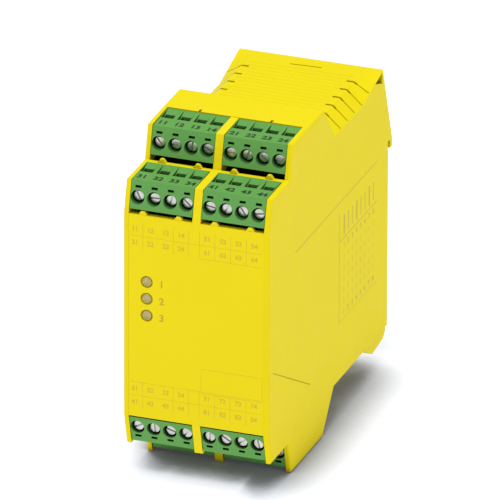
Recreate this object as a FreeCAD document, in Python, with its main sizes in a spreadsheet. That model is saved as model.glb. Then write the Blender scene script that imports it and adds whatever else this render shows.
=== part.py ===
import FreeCAD, Part
import Sketcher
import math
import os

# Safety relay in a 45 mm rail housing. All lengths are millimetres.
# X runs across the width, Y from the front panel to the mounting rail, Z upwards.
# Sketch dimensions count Y from the front face and Z from the base; every body is then
# moved forward by half the depth, so the origin lies under the middle of the housing.

SIZES = {
    # housing
    "width": 45.0,
    "height": 105.0,
    "depth": 106.0,
    "wall": 1.6,
    "rib": 2.5,
    # stepped front: two terminal tiers above the panel and two below it
    "tier_lean": 2.5,
    "tier_rise": 9.9,
    "tier_step": 17.4,
    "tier_drop": 10.4,
    "roof_rise": 0.2,
    "roof_bend": 30.5,
    "roof_edge": 32.6,
    "ridge_back": 46.0,
    "slope_run": 0.8,
    # vent plateau behind the ridge and the side walls beside it
    "vent_drop": 8.0,
    "cheek_drop": 12.5,
    "facet": 5.0,
    "cheek_inset": 25.5,
    "rear_inset": 8.6,
    # rail seat, hook and catch
    "hook_depth": 3.5,
    "hook_slot": 1.7,
    "hook_lap": 2.7,
    "rail_height": 35.0,
    "rail_drop": 16.2,
    # terminal plugs
    "plug_play": 0.15,
    "plug_gap": 1.5,
    "plug_shift": 1.0,
    "plug_depth": 14.9,
    "plug_rise": 0.3,
    "nose_depth": 5.8,
    "nose_foot": 2.6,
    "nose_height": 5.0,
    "screw_height": 4.9,
    # front panel and lenses
    "panel": 1.8,
    "lens_radius": 1.5,
    "lens_place": 15.3,
    "lens_pitch": 5.35,
    "lens_rise": 0.5,
    # circuit boards
    "board": 1.6,
    "board_front": 24.6,
}

doc = FreeCAD.newDocument("safety_relay")
sheet = doc.addObject("Spreadsheet::Sheet", "Sizes")
for row_number, (word, value) in enumerate(SIZES.items(), start=1):
    sheet.set(f"A{row_number}", word)
    sheet.set(f"B{row_number}", str(value))
    sheet.setAlias(f"B{row_number}", word)
doc.recompute()


# ---------------------------------------------------------------------------
# Lengths that know both their value and the sheet expression they come from
# ---------------------------------------------------------------------------

class Size:
    def __init__(self, value, text):
        self.value = value
        self.text = text

    def __add__(self, other):
        other = sized(other)
        return Size(self.value + other.value, f"({self.text} + {other.text})")

    def __sub__(self, other):
        other = sized(other)
        return Size(self.value - other.value, f"({self.text} - {other.text})")

    def __mul__(self, other):
        other = sized(other)
        return Size(self.value * other.value, f"({self.text} * {other.text})")

    def __truediv__(self, other):
        other = sized(other)
        return Size(self.value / other.value, f"({self.text} / {other.text})")

    def __radd__(self, other):
        return sized(other) + self

    def __rsub__(self, other):
        return sized(other) - self

    def __rmul__(self, other):
        return sized(other) * self

    def __neg__(self):
        return sized(0.0) - self


def sized(number):
    """The number itself as a Size, so that plain numbers and cells mix."""
    if isinstance(number, Size):
        return number
    return Size(float(number), f"({float(number):.6f})")


def cell(word):
    """The named cell of the sheet."""
    return Size(float(sheet.get(word)), f"Sizes.{word}")


def bind(thing, path, size):
    """Tie one property to its expression."""
    thing.setExpression(path, sized(size).text)


# ---------------------------------------------------------------------------
# Sketches and features
# ---------------------------------------------------------------------------

def new_body(label):
    body = doc.addObject("PartDesign::Body", label)
    body.Label = label
    bind(body, "Placement.Base.y", -cell("depth") / 2)
    return body


def origin_feature(body, role):
    return [item for item in body.Origin.OriginFeatures if item.Role == role][0]


def new_sketch(body, name, plane, offset):
    sketch = body.newObject("Sketcher::SketchObject", name)
    sketch.AttachmentSupport = [(origin_feature(body, plane), "")]
    sketch.MapMode = "FlatFace"
    bind(sketch, "AttachmentOffset.Base.z", offset)
    return sketch


def hold_point(sketch, edge, vertex, place):
    """Dimension one point of a sketch from the sketch's origin."""
    for kind, size in zip(("DistanceX", "DistanceY"), place):
        size = sized(size)
        index = sketch.addConstraint(Sketcher.Constraint(kind, -1, 1, edge, vertex, size.value))
        bind(sketch, f"Constraints[{index}]", size)


def outline(body, name, plane, corners, offset=0.0):
    """Closed outline of straight edges through the corners."""
    sketch = new_sketch(body, name, plane, offset)
    points = [FreeCAD.Vector(sized(u).value, sized(v).value, 0) for u, v in corners]
    count = len(points)
    for edge in range(count):
        sketch.addGeometry(Part.LineSegment(points[edge], points[(edge + 1) % count]))
    for edge, corner in enumerate(corners):
        sketch.addConstraint(Sketcher.Constraint("Coincident", edge, 2, (edge + 1) % count, 1))
        hold_point(sketch, edge, 1, corner)
    return sketch


def rectangle(body, name, plane, low, high, offset=0.0):
    corners = [low, (high[0], low[1]), high, (low[0], high[1])]
    return outline(body, name, plane, corners, offset)


def circle(body, name, plane, centre, radius, offset=0.0):
    sketch = new_sketch(body, name, plane, offset)
    middle = FreeCAD.Vector(sized(centre[0]).value, sized(centre[1]).value, 0)
    sketch.addGeometry(Part.Circle(middle, FreeCAD.Vector(0, 0, 1), sized(radius).value))
    hold_point(sketch, 0, 3, centre)
    index = sketch.addConstraint(Sketcher.Constraint("Radius", 0, sized(radius).value))
    bind(sketch, f"Constraints[{index}]", radius)
    return sketch


def many_sided(body, name, plane, centre, radius, sides, offset=0.0):
    """Round outline with a few flats, for small round forms that repeat many times."""
    corners = []
    for number in range(sides):
        turn = math.radians((number + 0.5) * 360.0 / sides)
        corners.append((centre[0] + radius * math.cos(turn), centre[1] + radius * math.sin(turn)))
    return outline(body, name, plane, corners, offset)


def extrude(body, kind, name, sketch, length, direction):
    """Pad or Pocket; direction is both (about the sketch), along or against its normal."""
    feature = body.newObject(f"PartDesign::{kind}", name)
    feature.Profile = sketch
    bind(feature, "Length", length)
    if direction == "both":
        feature.SideType = "Symmetric"
    feature.Reversed = direction == "against"
    body.Tip = feature
    return feature


def pad(body, name, sketch, length, direction="both"):
    return extrude(body, "Pad", name, sketch, length, direction)


def pocket(body, name, sketch, length, direction="both"):
    return extrude(body, "Pocket", name, sketch, length, direction)


def row(body, name, features, axis, pitch, count):
    """Repeat the features along an axis, one every pitch."""
    pattern = body.newObject("PartDesign::LinearPattern", name)
    pattern.Originals = features
    pattern.Direction = (origin_feature(body, axis), [""])
    pattern.Occurrences = count
    bind(pattern, "Length", pitch * (count - 1))
    body.Tip = pattern
    return pattern


# ---------------------------------------------------------------------------
# Places shared by several pieces
# ---------------------------------------------------------------------------

WIDTH = cell("width")
HALF = WIDTH / 2
INNER = HALF - cell("wall")
MID = cell("height") / 2
WALL = cell("wall")
DEPTH = cell("depth")
SEAT = DEPTH - cell("hook_depth")

# half heights, counted up and down from the middle of the front panel
TIER_2_TOP = MID - cell("roof_rise")
TIER_1_TOP = MID - cell("tier_drop")
PANEL_TOP = TIER_1_TOP - cell("tier_rise")
VENT = MID - cell("vent_drop")
CHEEK = MID - cell("cheek_drop")

RIDGE = cell("ridge_back")
SLOPE = cell("slope_run")
CHEEK_START = RIDGE + cell("cheek_drop") * SLOPE
VENT_START = RIDGE + cell("vent_drop") * SLOPE
CHEEK_END = DEPTH - cell("cheek_inset")
REAR_TOP = DEPTH - cell("rear_inset")
VENT_HALF = HALF - cell("facet")

# a block is the space for one plug between the side wall and the middle rib
BLOCK = INNER - cell("rib") / 2
PITCH = (BLOCK + 0.35) / 4
BLOCK_CENTRE = (INNER + cell("rib") / 2) / 2

# rail: its upper edge sits in the hook, its lower edge on the catch
HOOK_TIP = MID + cell("rail_drop") + 0.4
HOOK_TOP = HOOK_TIP + cell("hook_lap")
RAIL_FOOT = HOOK_TOP - 0.3 - cell("rail_height")
FLOOR = MID - CHEEK
POCKET_FRONT = SEAT - 4.7
POCKET_TOP = RAIL_FOOT + 2.2
BOARD_FACE = INNER - 0.15 - cell("board")
SPRING_FOOT = FLOOR + 5.5
SPRING_TOP = RAIL_FOOT - 6.0


def tier_place(tier):
    """Sign, foot depth and foot half height of a tier such as top_back.

    The lower plugs sit closer to the panel and to their ledge than the upper ones.
    """
    top = tier.startswith("top")
    sign = 1.0 if top else -1.0
    shift = sized(0.0) if top else cell("plug_shift")
    if tier.endswith("front"):
        return sign, sized(0.0), PANEL_TOP - shift
    return sign, cell("tier_step"), TIER_1_TOP - shift


def on_tier(tier, depth, rise):
    """A point in the YZ plane, from depth and height counted at the tier's own foot."""
    sign, foot_depth, foot_rise = tier_place(tier)
    return foot_depth + depth, MID + sign * (foot_rise + rise)


def tier_height(tier, rise):
    return on_tier(tier, 0.0, rise)[1]


def tier_depth(tier, depth):
    return on_tier(tier, depth, 0.0)[0]


# ---------------------------------------------------------------------------
# Housing: side walls, roof, vent plateaus, floor, rail seat and hook
# ---------------------------------------------------------------------------

def front_steps(sign, inset=0.0):
    """The stepped edge of one end, from the panel's corner to the back of the ridge."""
    lean = cell("tier_lean")
    return [
        (sized(0.0), MID + sign * PANEL_TOP),
        (lean, MID + sign * TIER_1_TOP),
        (cell("tier_step"), MID + sign * TIER_1_TOP),
        (cell("tier_step") + lean, MID + sign * TIER_2_TOP),
        (cell("roof_bend"), MID + sign * MID),
        (RIDGE, MID + sign * MID),
        (VENT_START, MID + sign * VENT),
    ]


def build_housing():
    body = new_body("housing")
    # outside form, drawn with both vent plateaus at full width
    rear = [
        (REAR_TOP, MID + VENT),
        (DEPTH, HOOK_TIP + 2.2),
        (DEPTH, HOOK_TIP),
        (SEAT + cell("hook_slot"), HOOK_TIP),
        (SEAT + cell("hook_slot"), HOOK_TOP),
        (SEAT - 0.3, HOOK_TOP),
        (SEAT - 0.3, HOOK_TIP - 0.2),
        (SEAT, HOOK_TIP - 0.2),
        (SEAT, FLOOR),
        (CHEEK_END + 1.5, FLOOR),
        (CHEEK_END - 2.0, MID - VENT),
    ]
    steps = front_steps(1.0)
    under = list(reversed(front_steps(-1.0)))
    form = outline(body, "form", "YZ_Plane", steps + rear + under)
    pad(body, "solid", form, WIDTH)

    cut_facets(body)
    restore_ridges(body)
    hollow_out(body)
    cut_vents(body)
    cut_roof_marks(body)
    add_catch_guides(body)
    round_cheeks(body)
    return body


def facet_section(body, name, side, sign, depth, reach):
    """Triangle cut off beside a vent plateau: reach 1 at full height, 0 where it runs out."""
    edge = MID + sign * (VENT - (VENT - CHEEK) * reach)
    top = MID + sign * (VENT + 1.0)
    corners = [
        (side * (VENT_HALF - 0.7), top),
        (side * VENT_HALF, MID + sign * VENT),
        (side * HALF, edge),
        (side * (HALF + 1.0), edge),
        (side * (HALF + 1.0), top),
    ]
    return outline(body, name, "XZ_Plane", corners, -depth)


def cut_facets(body):
    """Slope both sides of each plateau down to the side wall's edge."""
    for side in (-1.0, 1.0):
        for sign in (1.0, -1.0):
            tag = f"{'left' if side < 0 else 'right'}_{'top' if sign > 0 else 'bottom'}"
            near = facet_section(body, f"facet_near_{tag}", side, sign, RIDGE, 1.0)
            run = CHEEK_END - RIDGE if sign > 0 else CHEEK_END - RIDGE + 6.0
            pocket(body, f"facet_{tag}", near, run, "along")
            if sign > 0:
                start = facet_section(body, f"taper_start_{tag}", side, sign, CHEEK_END, 1.0)
                end = facet_section(body, f"taper_end_{tag}", side, sign, REAR_TOP, 0.02)
                loft = body.newObject("PartDesign::SubtractiveLoft", f"taper_{tag}")
                loft.Profile = start
                loft.Sections = [(end, [""])]
                loft.Ruled = True
                body.Tip = loft


def restore_ridges(body):
    """The ridge's sloping back keeps its full width above the facets."""
    for sign, tag in ((1.0, "top"), (-1.0, "bottom")):
        corners = [
            (cell("roof_bend") + 2.0, MID + sign * (CHEEK - 6.0)),
            (cell("roof_bend") + 2.0, MID + sign * MID),
            (RIDGE, MID + sign * MID),
            (CHEEK_START, MID + sign * CHEEK),
            (CHEEK_START, MID + sign * (CHEEK - 6.0)),
        ]
        pad(body, f"ridge_{tag}", outline(body, f"ridge_form_{tag}", "YZ_Plane", corners), WIDTH)


def hollow_out(body):
    """Clear the inside, open at the front, and the space under each plateau."""
    gap = WALL
    edge = cell("roof_edge")
    mouth = MID + 5.0

    def end(sign):
        return [
            (sized(-2.0), MID + sign * mouth),
            (edge, MID + sign * mouth),
            (edge, MID + sign * (MID - gap)),
            (RIDGE - 0.6, MID + sign * (MID - gap)),
            (CHEEK_START - 0.9, MID + sign * (CHEEK - gap)),
        ]
    rear = [
        (REAR_TOP + 0.4, MID + CHEEK - gap),
        (SEAT - gap, HOOK_TOP + 6.0),
        (SEAT - gap, POCKET_TOP + gap),
        (POCKET_FRONT - gap, POCKET_TOP + gap),
        (POCKET_FRONT - gap, FLOOR + gap),
    ]
    corners = end(1.0) + rear + list(reversed(end(-1.0)))
    pocket(body, "inside", outline(body, "inside_form", "YZ_Plane", corners), INNER * 2)

    for sign, tag, far in ((1.0, "top", REAR_TOP - 2.2), (-1.0, "bottom", CHEEK_END - 3.4)):
        space = [
            (CHEEK_START - 1.2, MID + sign * (CHEEK - gap - 1.0)),
            (VENT_START + 1.2, MID + sign * (VENT - gap)),
            (far, MID + sign * (VENT - gap)),
            (far + 0.2, MID + sign * (CHEEK - gap - 1.0)),
        ]
        sketch = outline(body, f"plateau_form_{tag}", "YZ_Plane", space)
        pocket(body, f"plateau_space_{tag}", sketch, (VENT_HALF - gap) * 2)

    catch_space = rectangle(
        body, "catch_form", "YZ_Plane", (POCKET_FRONT, FLOOR - 2.0), (SEAT + 2.0, POCKET_TOP)
    )
    pocket(body, "catch_space", catch_space, INNER * 2)


def cut_vents(body):
    """Fine grooves across both plateaus and narrow open slots along each side of them."""
    pitch = (CHEEK_END - VENT_START) / 12
    for sign, tag in ((1.0, "top"), (-1.0, "bottom")):
        start = VENT_START + 1.4
        low = (start, MID + sign * (VENT - 0.25))
        high = (start + 0.5, MID + sign * (VENT + 0.5))
        groove = pocket(
            body, f"groove_{tag}", rectangle(body, f"groove_form_{tag}", "YZ_Plane", low, high),
            VENT_HALF * 2 - 3.0,
        )
        row(body, f"grooves_{tag}", [groove], "Y_Axis", pitch, 16 if sign > 0 else 10)
        for side in (-1.0, 1.0):
            hand = "left" if side < 0 else "right"
            near = VENT_START + 8.7
            low = (near, MID + sign * (VENT - 3.4))
            high = (near + 0.9, MID + sign * (VENT + 1.0))
            form = rectangle(
                body, f"slot_form_{tag}_{hand}", "YZ_Plane", low, high, side * (VENT_HALF - 0.6)
            )
            slot = pocket(body, f"slot_{tag}_{hand}", form, 3.2)
            slots = 5 if sign > 0 else 3
            row(body, f"slots_{tag}_{hand}", [slot], "Y_Axis", pitch * 2.6, slots)


def cut_roof_marks(body):
    """A small notch in the roof's front edge at the middle of each plug."""
    for sign, tag in ((1.0, "top"), (-1.0, "bottom")):
        for side, hand in ((-1.0, "left"), (1.0, "right")):
            form = rectangle(
                body, f"mark_form_{tag}_{hand}", "YZ_Plane",
                (cell("roof_edge") - 1.0, MID + sign * (MID - 0.7)),
                (cell("roof_edge") + 1.6, MID + sign * (MID + 1.0)), side * BLOCK_CENTRE,
            )
            pocket(body, f"mark_{tag}_{hand}", form, 0.8)


def add_catch_guides(body):
    """Two lips that keep the catch in its space, and the ledge its spring stands on."""
    for side in (-1.0, 1.0):
        hand = "left" if side < 0 else "right"
        lip = rectangle(
            body, f"lip_form_{hand}", "YZ_Plane",
            (SEAT - 1.2, FLOOR + 1.0), (SEAT, POCKET_TOP - 1.0), side * (INNER - 0.5),
        )
        pad(body, f"lip_{hand}", lip, 1.4)
    ledge = rectangle(
        body, "ledge_form", "YZ_Plane",
        (POCKET_FRONT - 0.8, SPRING_FOOT - 1.6), (SEAT - 0.7, SPRING_FOOT),
    )
    pad(body, "ledge", ledge, 4.2)


def round_cheeks(body):
    """Round the outer edges of both side walls along the stepped front."""
    doc.recompute()
    solid = body.Tip
    limit = cell("roof_bend").value + 1.0
    names = []
    for number, edge in enumerate(solid.Shape.Edges, start=1):
        ends = [vertex.Point for vertex in edge.Vertexes]
        on_side = all(abs(abs(point.x) - HALF.value) < 0.01 for point in ends)
        if on_side and all(point.y < limit for point in ends) and edge.Length > 1.0:
            names.append(f"Edge{number}")
    fillet = body.newObject("PartDesign::Fillet", "cheek_edges")
    fillet.Base = (solid, names)
    bind(fillet, "Radius", WALL * 0.45)
    body.Tip = fillet


# ---------------------------------------------------------------------------
# Front cover: panel, middle rib, ledges between the tiers, small tabs
# ---------------------------------------------------------------------------

def build_front_cover():
    body = new_body("front_cover")
    reach = INNER - 0.1
    panel = rectangle(
        body, "panel_form", "XZ_Plane", (-reach, MID - PANEL_TOP), (reach, MID + PANEL_TOP)
    )
    pad(body, "panel_plate", panel, cell("panel"), "against")

    for sign, tag in ((1.0, "top"), (-1.0, "bottom")):
        back = cell("roof_edge") - 0.1
        corners = front_steps(sign)[:4] + [
            (back, MID + sign * (MID - 0.1)),
            (back, MID + sign * (PANEL_TOP - 2.0)),
            (sized(0.0), MID + sign * (PANEL_TOP - 2.0)),
        ]
        rib = outline(body, f"rib_form_{tag}", "YZ_Plane", corners)
        pad(body, f"rib_{tag}", rib, cell("rib"))
        ledge = rectangle(
            body, f"ledge_form_{tag}", "YZ_Plane",
            (cell("plug_depth") + 0.4, MID + sign * (TIER_1_TOP - 0.8)),
            (cell("tier_step") - 0.2, MID + sign * TIER_1_TOP),
        )
        pad(body, f"ledge_{tag}", ledge, reach * 2)
    add_tabs(body, "panel", PANEL_TOP, 0.2)
    add_tabs(body, "ledge", TIER_1_TOP, cell("tier_step") - 1.4)

    for number in range(3):
        hole = circle(
            body, f"lens_hole_form_{number + 1}", "XZ_Plane",
            (-cell("lens_place"), lens_height(number)), cell("lens_radius") + 0.05,
        )
        pocket(body, f"lens_hole_{number + 1}", hole, cell("panel") * 3)
    return body


def add_tabs(body, tag, rise, depth):
    """Two small pointed tabs under each upper plug, standing on an edge of the cover."""
    for side in (-1.0, 1.0):
        for offset in (-1.0, 1.0):
            centre = side * BLOCK_CENTRE + offset * PITCH * 1.1
            foot = MID + rise - 0.3
            corners = [
                (centre - 1.6, foot),
                (centre + 1.6, foot),
                (centre + 0.5, MID + rise + 1.2),
                (centre - 0.5, MID + rise + 1.2),
            ]
            name = f"{tag}_{'l' if side < 0 else 'r'}{'a' if offset < 0 else 'b'}"
            form = outline(body, f"tab_form_{name}", "XZ_Plane", corners, -sized(depth))
            pad(body, f"tab_{name}", form, 1.1, "against")


def lens_height(number):
    """Height of a status lens; 0 is the top one."""
    return MID + cell("lens_rise") + cell("lens_pitch") * (2 - number)


def build_lens(number):
    """Light guide: round face in the panel, collar behind it, rod back to the diode."""
    body = new_body(f"status_lens_{number + 1}")
    centre = (-cell("lens_place"), lens_height(number))
    radius = cell("lens_radius")
    face = circle(body, "face_form", "XZ_Plane", centre, radius, -0.15)
    pad(body, "face", face, cell("panel"), "against")
    collar = many_sided(body, "collar_form", "XZ_Plane", centre, radius + 0.6, 12, -cell("panel"))
    pad(body, "collar", collar, 1.0, "against")
    rod = many_sided(body, "rod_form", "XZ_Plane", centre, radius * 0.8, 12, -cell("panel"))
    pad(body, "rod", rod, cell("board_front") - cell("panel"), "against")
    return body


# ---------------------------------------------------------------------------
# Terminal plugs, their screws and clamps, and the headers they push on to
# ---------------------------------------------------------------------------

PLUG_END = cell("plug_depth")
NOSE_END = PLUG_END + cell("nose_depth")
NOSE_FOOT = cell("nose_foot")
NOSE_TOP = NOSE_FOOT + cell("nose_height")
NOSE_MIDDLE = NOSE_FOOT + cell("nose_height") / 2
POLE_HALF = PITCH * 0.35
SHANK = PITCH * 0.23


def block_centre(hand):
    return BLOCK_CENTRE * (-1.0 if hand == "left" else 1.0)


def first_pole(hand):
    return block_centre(hand) - PITCH * 1.5


def tier_rectangle(body, name, tier, low, high, offset):
    return rectangle(body, name, "YZ_Plane", on_tier(tier, *low), on_tier(tier, *high), offset)


def build_plug(tier, hand):
    """Green four-pole plug: leaning screw face, nearly level wire face, nose behind."""
    body = new_body(f"plug_{tier}_{hand}")
    centre = block_centre(hand)
    lean = cell("tier_lean")
    gap = cell("plug_gap")
    rise = cell("tier_rise")
    corners = [
        on_tier(tier, lean * gap / rise, gap),
        on_tier(tier, lean, rise),
        on_tier(tier, PLUG_END, rise + cell("plug_rise")),
        on_tier(tier, PLUG_END, gap),
    ]
    side_form = outline(body, "side_form", "YZ_Plane", corners, centre)
    pad(body, "block", side_form, BLOCK - cell("plug_play") * 2)
    nose = tier_rectangle(body, "nose_form", tier, (PLUG_END - 0.5, NOSE_FOOT), (NOSE_END, NOSE_TOP), centre)
    pad(body, "nose", nose, BLOCK - 1.8)

    pole = first_pole(hand)
    chamber = tier_rectangle(body, "chamber_form", tier, (5.0, 2.4), (12.9, 8.1), pole)
    scoop = [
        on_tier(tier, 8.3, rise - 1.5),
        on_tier(tier, 8.3, rise + 2.0),
        on_tier(tier, PLUG_END - 0.5, rise + 2.0),
        on_tier(tier, PLUG_END - 0.5, rise + 0.2),
    ]
    mouth = outline(body, "mouth_form", "YZ_Plane", scoop, pole)
    throat = tier_rectangle(body, "throat_form", tier, (8.6, 7.5), (11.4, rise + 0.5), pole)
    channel = tier_rectangle(
        body, "channel_form", tier, (12.5, NOSE_MIDDLE - 1.0), (NOSE_END + 1.0, NOSE_MIDDLE + 1.0), pole
    )
    cuts = [
        pocket(body, "chamber", chamber, POLE_HALF * 2),
        pocket(body, "mouth", mouth, POLE_HALF * 2 + 0.4),
        pocket(body, "throat", throat, POLE_HALF * 1.7),
        pocket(body, "channel", channel, 2.0),
    ]
    hole = many_sided(
        body, "hole_form", "XZ_Plane", (pole, tier_height(tier, cell("screw_height"))), PITCH * 0.42,
        12, -(tier_depth(tier, 0.0) - 1.0),
    )
    cuts.append(pocket(body, "hole", hole, 7.0, "along"))
    row(body, "poles", cuts, "X_Axis", PITCH, 4)
    return body


def build_screws(tier, hand):
    """Four slotted terminal screws, each stopped at its own angle."""
    body = new_body(f"screws_{tier}_{hand}")
    pole = first_pole(hand)
    height = tier_height(tier, cell("screw_height"))
    head_front = tier_depth(tier, 2.0)
    head = many_sided(body, "head_form", "XZ_Plane", (pole, height), PITCH * 0.34, 12, -head_front)
    shank = many_sided(body, "shank_form", "XZ_Plane", (pole, height), SHANK, 6, -(head_front + 1.0))
    parts = [
        pad(body, "head", head, 1.7, "against"),
        pad(body, "shank", shank, 6.6, "against"),
    ]
    row(body, "screws", parts, "X_Axis", PITCH, 4)
    seed = len(tier) * 31 + (17 if hand == "left" else 71) + (43 if "back" in tier else 0)
    for number in range(4):
        turn = math.radians((seed + number * 67) % 180)
        along = (math.cos(turn) * 3.0, math.sin(turn) * 3.0)
        across = (-math.sin(turn) * 0.3, math.cos(turn) * 0.3)
        x_centre = pole + PITCH * number
        corners = [
            (x_centre + (a * along[0] + b * across[0]), height + (a * along[1] + b * across[1]))
            for a, b in ((-1, -1), (1, -1), (1, 1), (-1, 1))
        ]
        form = outline(body, f"slot_form_{number + 1}", "XZ_Plane", corners, -(head_front - 0.5))
        pocket(body, f"slot_{number + 1}", form, 1.3, "along")
    return body


def build_clamps(tier, hand):
    """Four wire clamps: a cage open along the wire, a bar and a square socket behind it."""
    body = new_body(f"clamps_{tier}_{hand}")
    pole = first_pole(hand)
    cage = tier_rectangle(body, "cage_form", tier, (6.4, 2.4), (12.4, 7.3), pole)
    window = tier_rectangle(body, "window_form", tier, (7.2, 1.0), (11.6, 9.0), pole)
    low = (12.0, NOSE_MIDDLE - 0.95)
    high = (NOSE_END - 0.4, NOSE_MIDDLE + 0.95)
    socket = tier_rectangle(body, "socket_form", tier, low, high, pole)
    low = (PLUG_END + 0.6, NOSE_MIDDLE - 0.58)
    high = (NOSE_END + 1.0, NOSE_MIDDLE + 0.58)
    bore = tier_rectangle(body, "bore_form", tier, low, high, pole)
    height = tier_height(tier, cell("screw_height"))
    hole = rectangle(
        body, "thread_form", "XZ_Plane",
        (pole - SHANK, height - SHANK), (pole + SHANK, height + SHANK), -tier_depth(tier, 5.0),
    )
    features = [
        pad(body, "cage", cage, (POLE_HALF - 0.05) * 2),
        pad(body, "socket", socket, 1.9),
        pocket(body, "window", window, (POLE_HALF - 0.6) * 2),
        pocket(body, "bore", bore, 1.16),
        pocket(body, "thread", hole, 2.8, "along"),
    ]
    row(body, "clamps", features, "X_Axis", PITCH, 4)
    return body


def build_header(tier, hand):
    """Shroud round the plug's nose, with four holes for the pins in its back wall."""
    body = new_body(f"header_{tier}_{hand}")
    centre = block_centre(hand)
    start = PLUG_END + 0.3
    end = NOSE_END + 3.2
    shroud = tier_rectangle(
        body, "shroud_form", tier, (start, NOSE_FOOT - 1.0), (end, NOSE_TOP + 1.0), centre
    )
    pad(body, "shroud", shroud, BLOCK - 0.1)
    cavity = tier_rectangle(
        body, "cavity_form", tier, (start - 1.0, NOSE_FOOT - 0.15), (NOSE_END + 0.3, NOSE_TOP + 0.15), centre
    )
    pocket(body, "cavity", cavity, BLOCK - 1.5)
    hole = tier_rectangle(
        body, "hole_form", tier,
        (NOSE_END - 1.0, NOSE_MIDDLE - 0.5), (end + 1.0, NOSE_MIDDLE + 0.5), first_pole(hand),
    )
    row(body, "holes", [pocket(body, "hole", hole, 1.0)], "X_Axis", PITCH, 4)
    return body


def board_face(hand):
    """X of the face of the board that carries the parts."""
    return BOARD_FACE * (-1.0 if hand == "left" else 1.0)


def build_pins(tier, hand):
    """Four square pins, bent behind the header and led sideways to the board."""
    body = new_body(f"pins_{tier}_{hand}")
    start = NOSE_END - cell("nose_depth") + 1.4
    end = NOSE_END + 3.2
    outward = -1.0 if hand == "left" else 1.0
    for number in range(4):
        steps = number if hand == "left" else 3 - number
        x_pole = first_pole(hand) + PITCH * number
        reach = end + 0.6 + 1.2 * steps
        leg = tier_rectangle(
            body, f"leg_form_{number + 1}", tier,
            (start, NOSE_MIDDLE - 0.5), (reach + 0.4, NOSE_MIDDLE + 0.5), x_pole,
        )
        pad(body, f"leg_{number + 1}", leg, 1.0)
        tail = tier_rectangle(
            body, f"tail_form_{number + 1}", tier,
            (reach - 0.4, NOSE_MIDDLE - 0.4), (reach + 0.4, NOSE_MIDDLE + 0.4), x_pole,
        )
        length = (board_face(hand) - x_pole) * outward
        direction = "along" if outward > 0 else "against"
        pad(body, f"tail_{number + 1}", tail, length, direction)
    return body


# ---------------------------------------------------------------------------
# Inside: boards, relays, capacitors, diodes and the link between the boards
# ---------------------------------------------------------------------------

def build_board(hand):
    body = new_body(f"circuit_board_{hand}")
    front = cell("board_front")
    upper_front = cell("tier_step") + NOSE_END + 3.6
    upper = TIER_1_TOP + NOSE_TOP + 0.6
    rear = POCKET_FRONT - 14.0

    def end(sign):
        return [
            (front, MID + sign * (PANEL_TOP + NOSE_TOP + 1.0)),
            (upper_front, MID + sign * (PANEL_TOP + NOSE_TOP + 1.0)),
            (upper_front, MID + sign * upper),
            (RIDGE - 1.4, MID + sign * upper),
            (CHEEK_START - 2.2, MID + sign * (CHEEK - 3.0)),
            (rear, MID + sign * (CHEEK - 3.0)),
        ]
    corners = end(1.0) + list(reversed(end(-1.0)))
    centre = board_face(hand) + (cell("board") / 2) * (-1.0 if hand == "left" else 1.0)
    pad(body, "plate", outline(body, "plate_form", "YZ_Plane", corners, centre), cell("board"))
    return body


def on_board(body, name, hand, low, high, height):
    """Block standing on a board: low and high are its corners in the YZ plane."""
    form = rectangle(body, f"{name}_form", "YZ_Plane", low, high, board_face(hand))
    return pad(body, name, form, height, "along" if hand == "left" else "against")


def build_relay(hand):
    """Sealed force-guided relay lying along the board, with its raised cover edge."""
    body = new_body(f"relay_{hand}")
    front = cell("board_front") + 3.6
    on_board(body, "base", hand, (front, MID - 25.0), (front + 13.0, MID + 25.0), 3.0)
    on_board(body, "cover", hand, (front + 0.5, MID - 24.5), (front + 12.5, MID + 24.5), 16.0)
    return body


def build_capacitor(number):
    """Electrolytic can standing on the left board."""
    body = new_body(f"capacitor_{number + 1}")
    centre = (RIDGE + 4.0, MID - 12.0 + 24.0 * number)
    face = board_face("left")
    pad(body, "can", circle(body, "can_form", "YZ_Plane", centre, 5.0, face), 14.0, "along")
    crimp = circle(body, "crimp_form", "YZ_Plane", centre, 5.3, face)
    pad(body, "crimp", crimp, 1.6, "along")
    return body


def build_diodes():
    """Three light-emitting diodes at the board's front edge, one behind each lens."""
    body = new_body("status_diodes")
    front = cell("board_front")
    for number in range(3):
        height = lens_height(number)
        on_board(
            body, f"diode_{number + 1}", "left",
            (front, height - 1.6), (front + 2.8, height + 1.6), BOARD_FACE - 13.4,
        )
    return body


def build_link():
    """Strip that joins the two boards near the rear."""
    body = new_body("board_link")
    front = POCKET_FRONT - 24.0
    form = rectangle(body, "strip_form", "YZ_Plane", (front, MID - 8.0), (front + 2.0, MID + 8.0))
    pad(body, "strip", form, BOARD_FACE * 2)
    return body


# ---------------------------------------------------------------------------
# Rail catch and its spring
# ---------------------------------------------------------------------------

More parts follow.
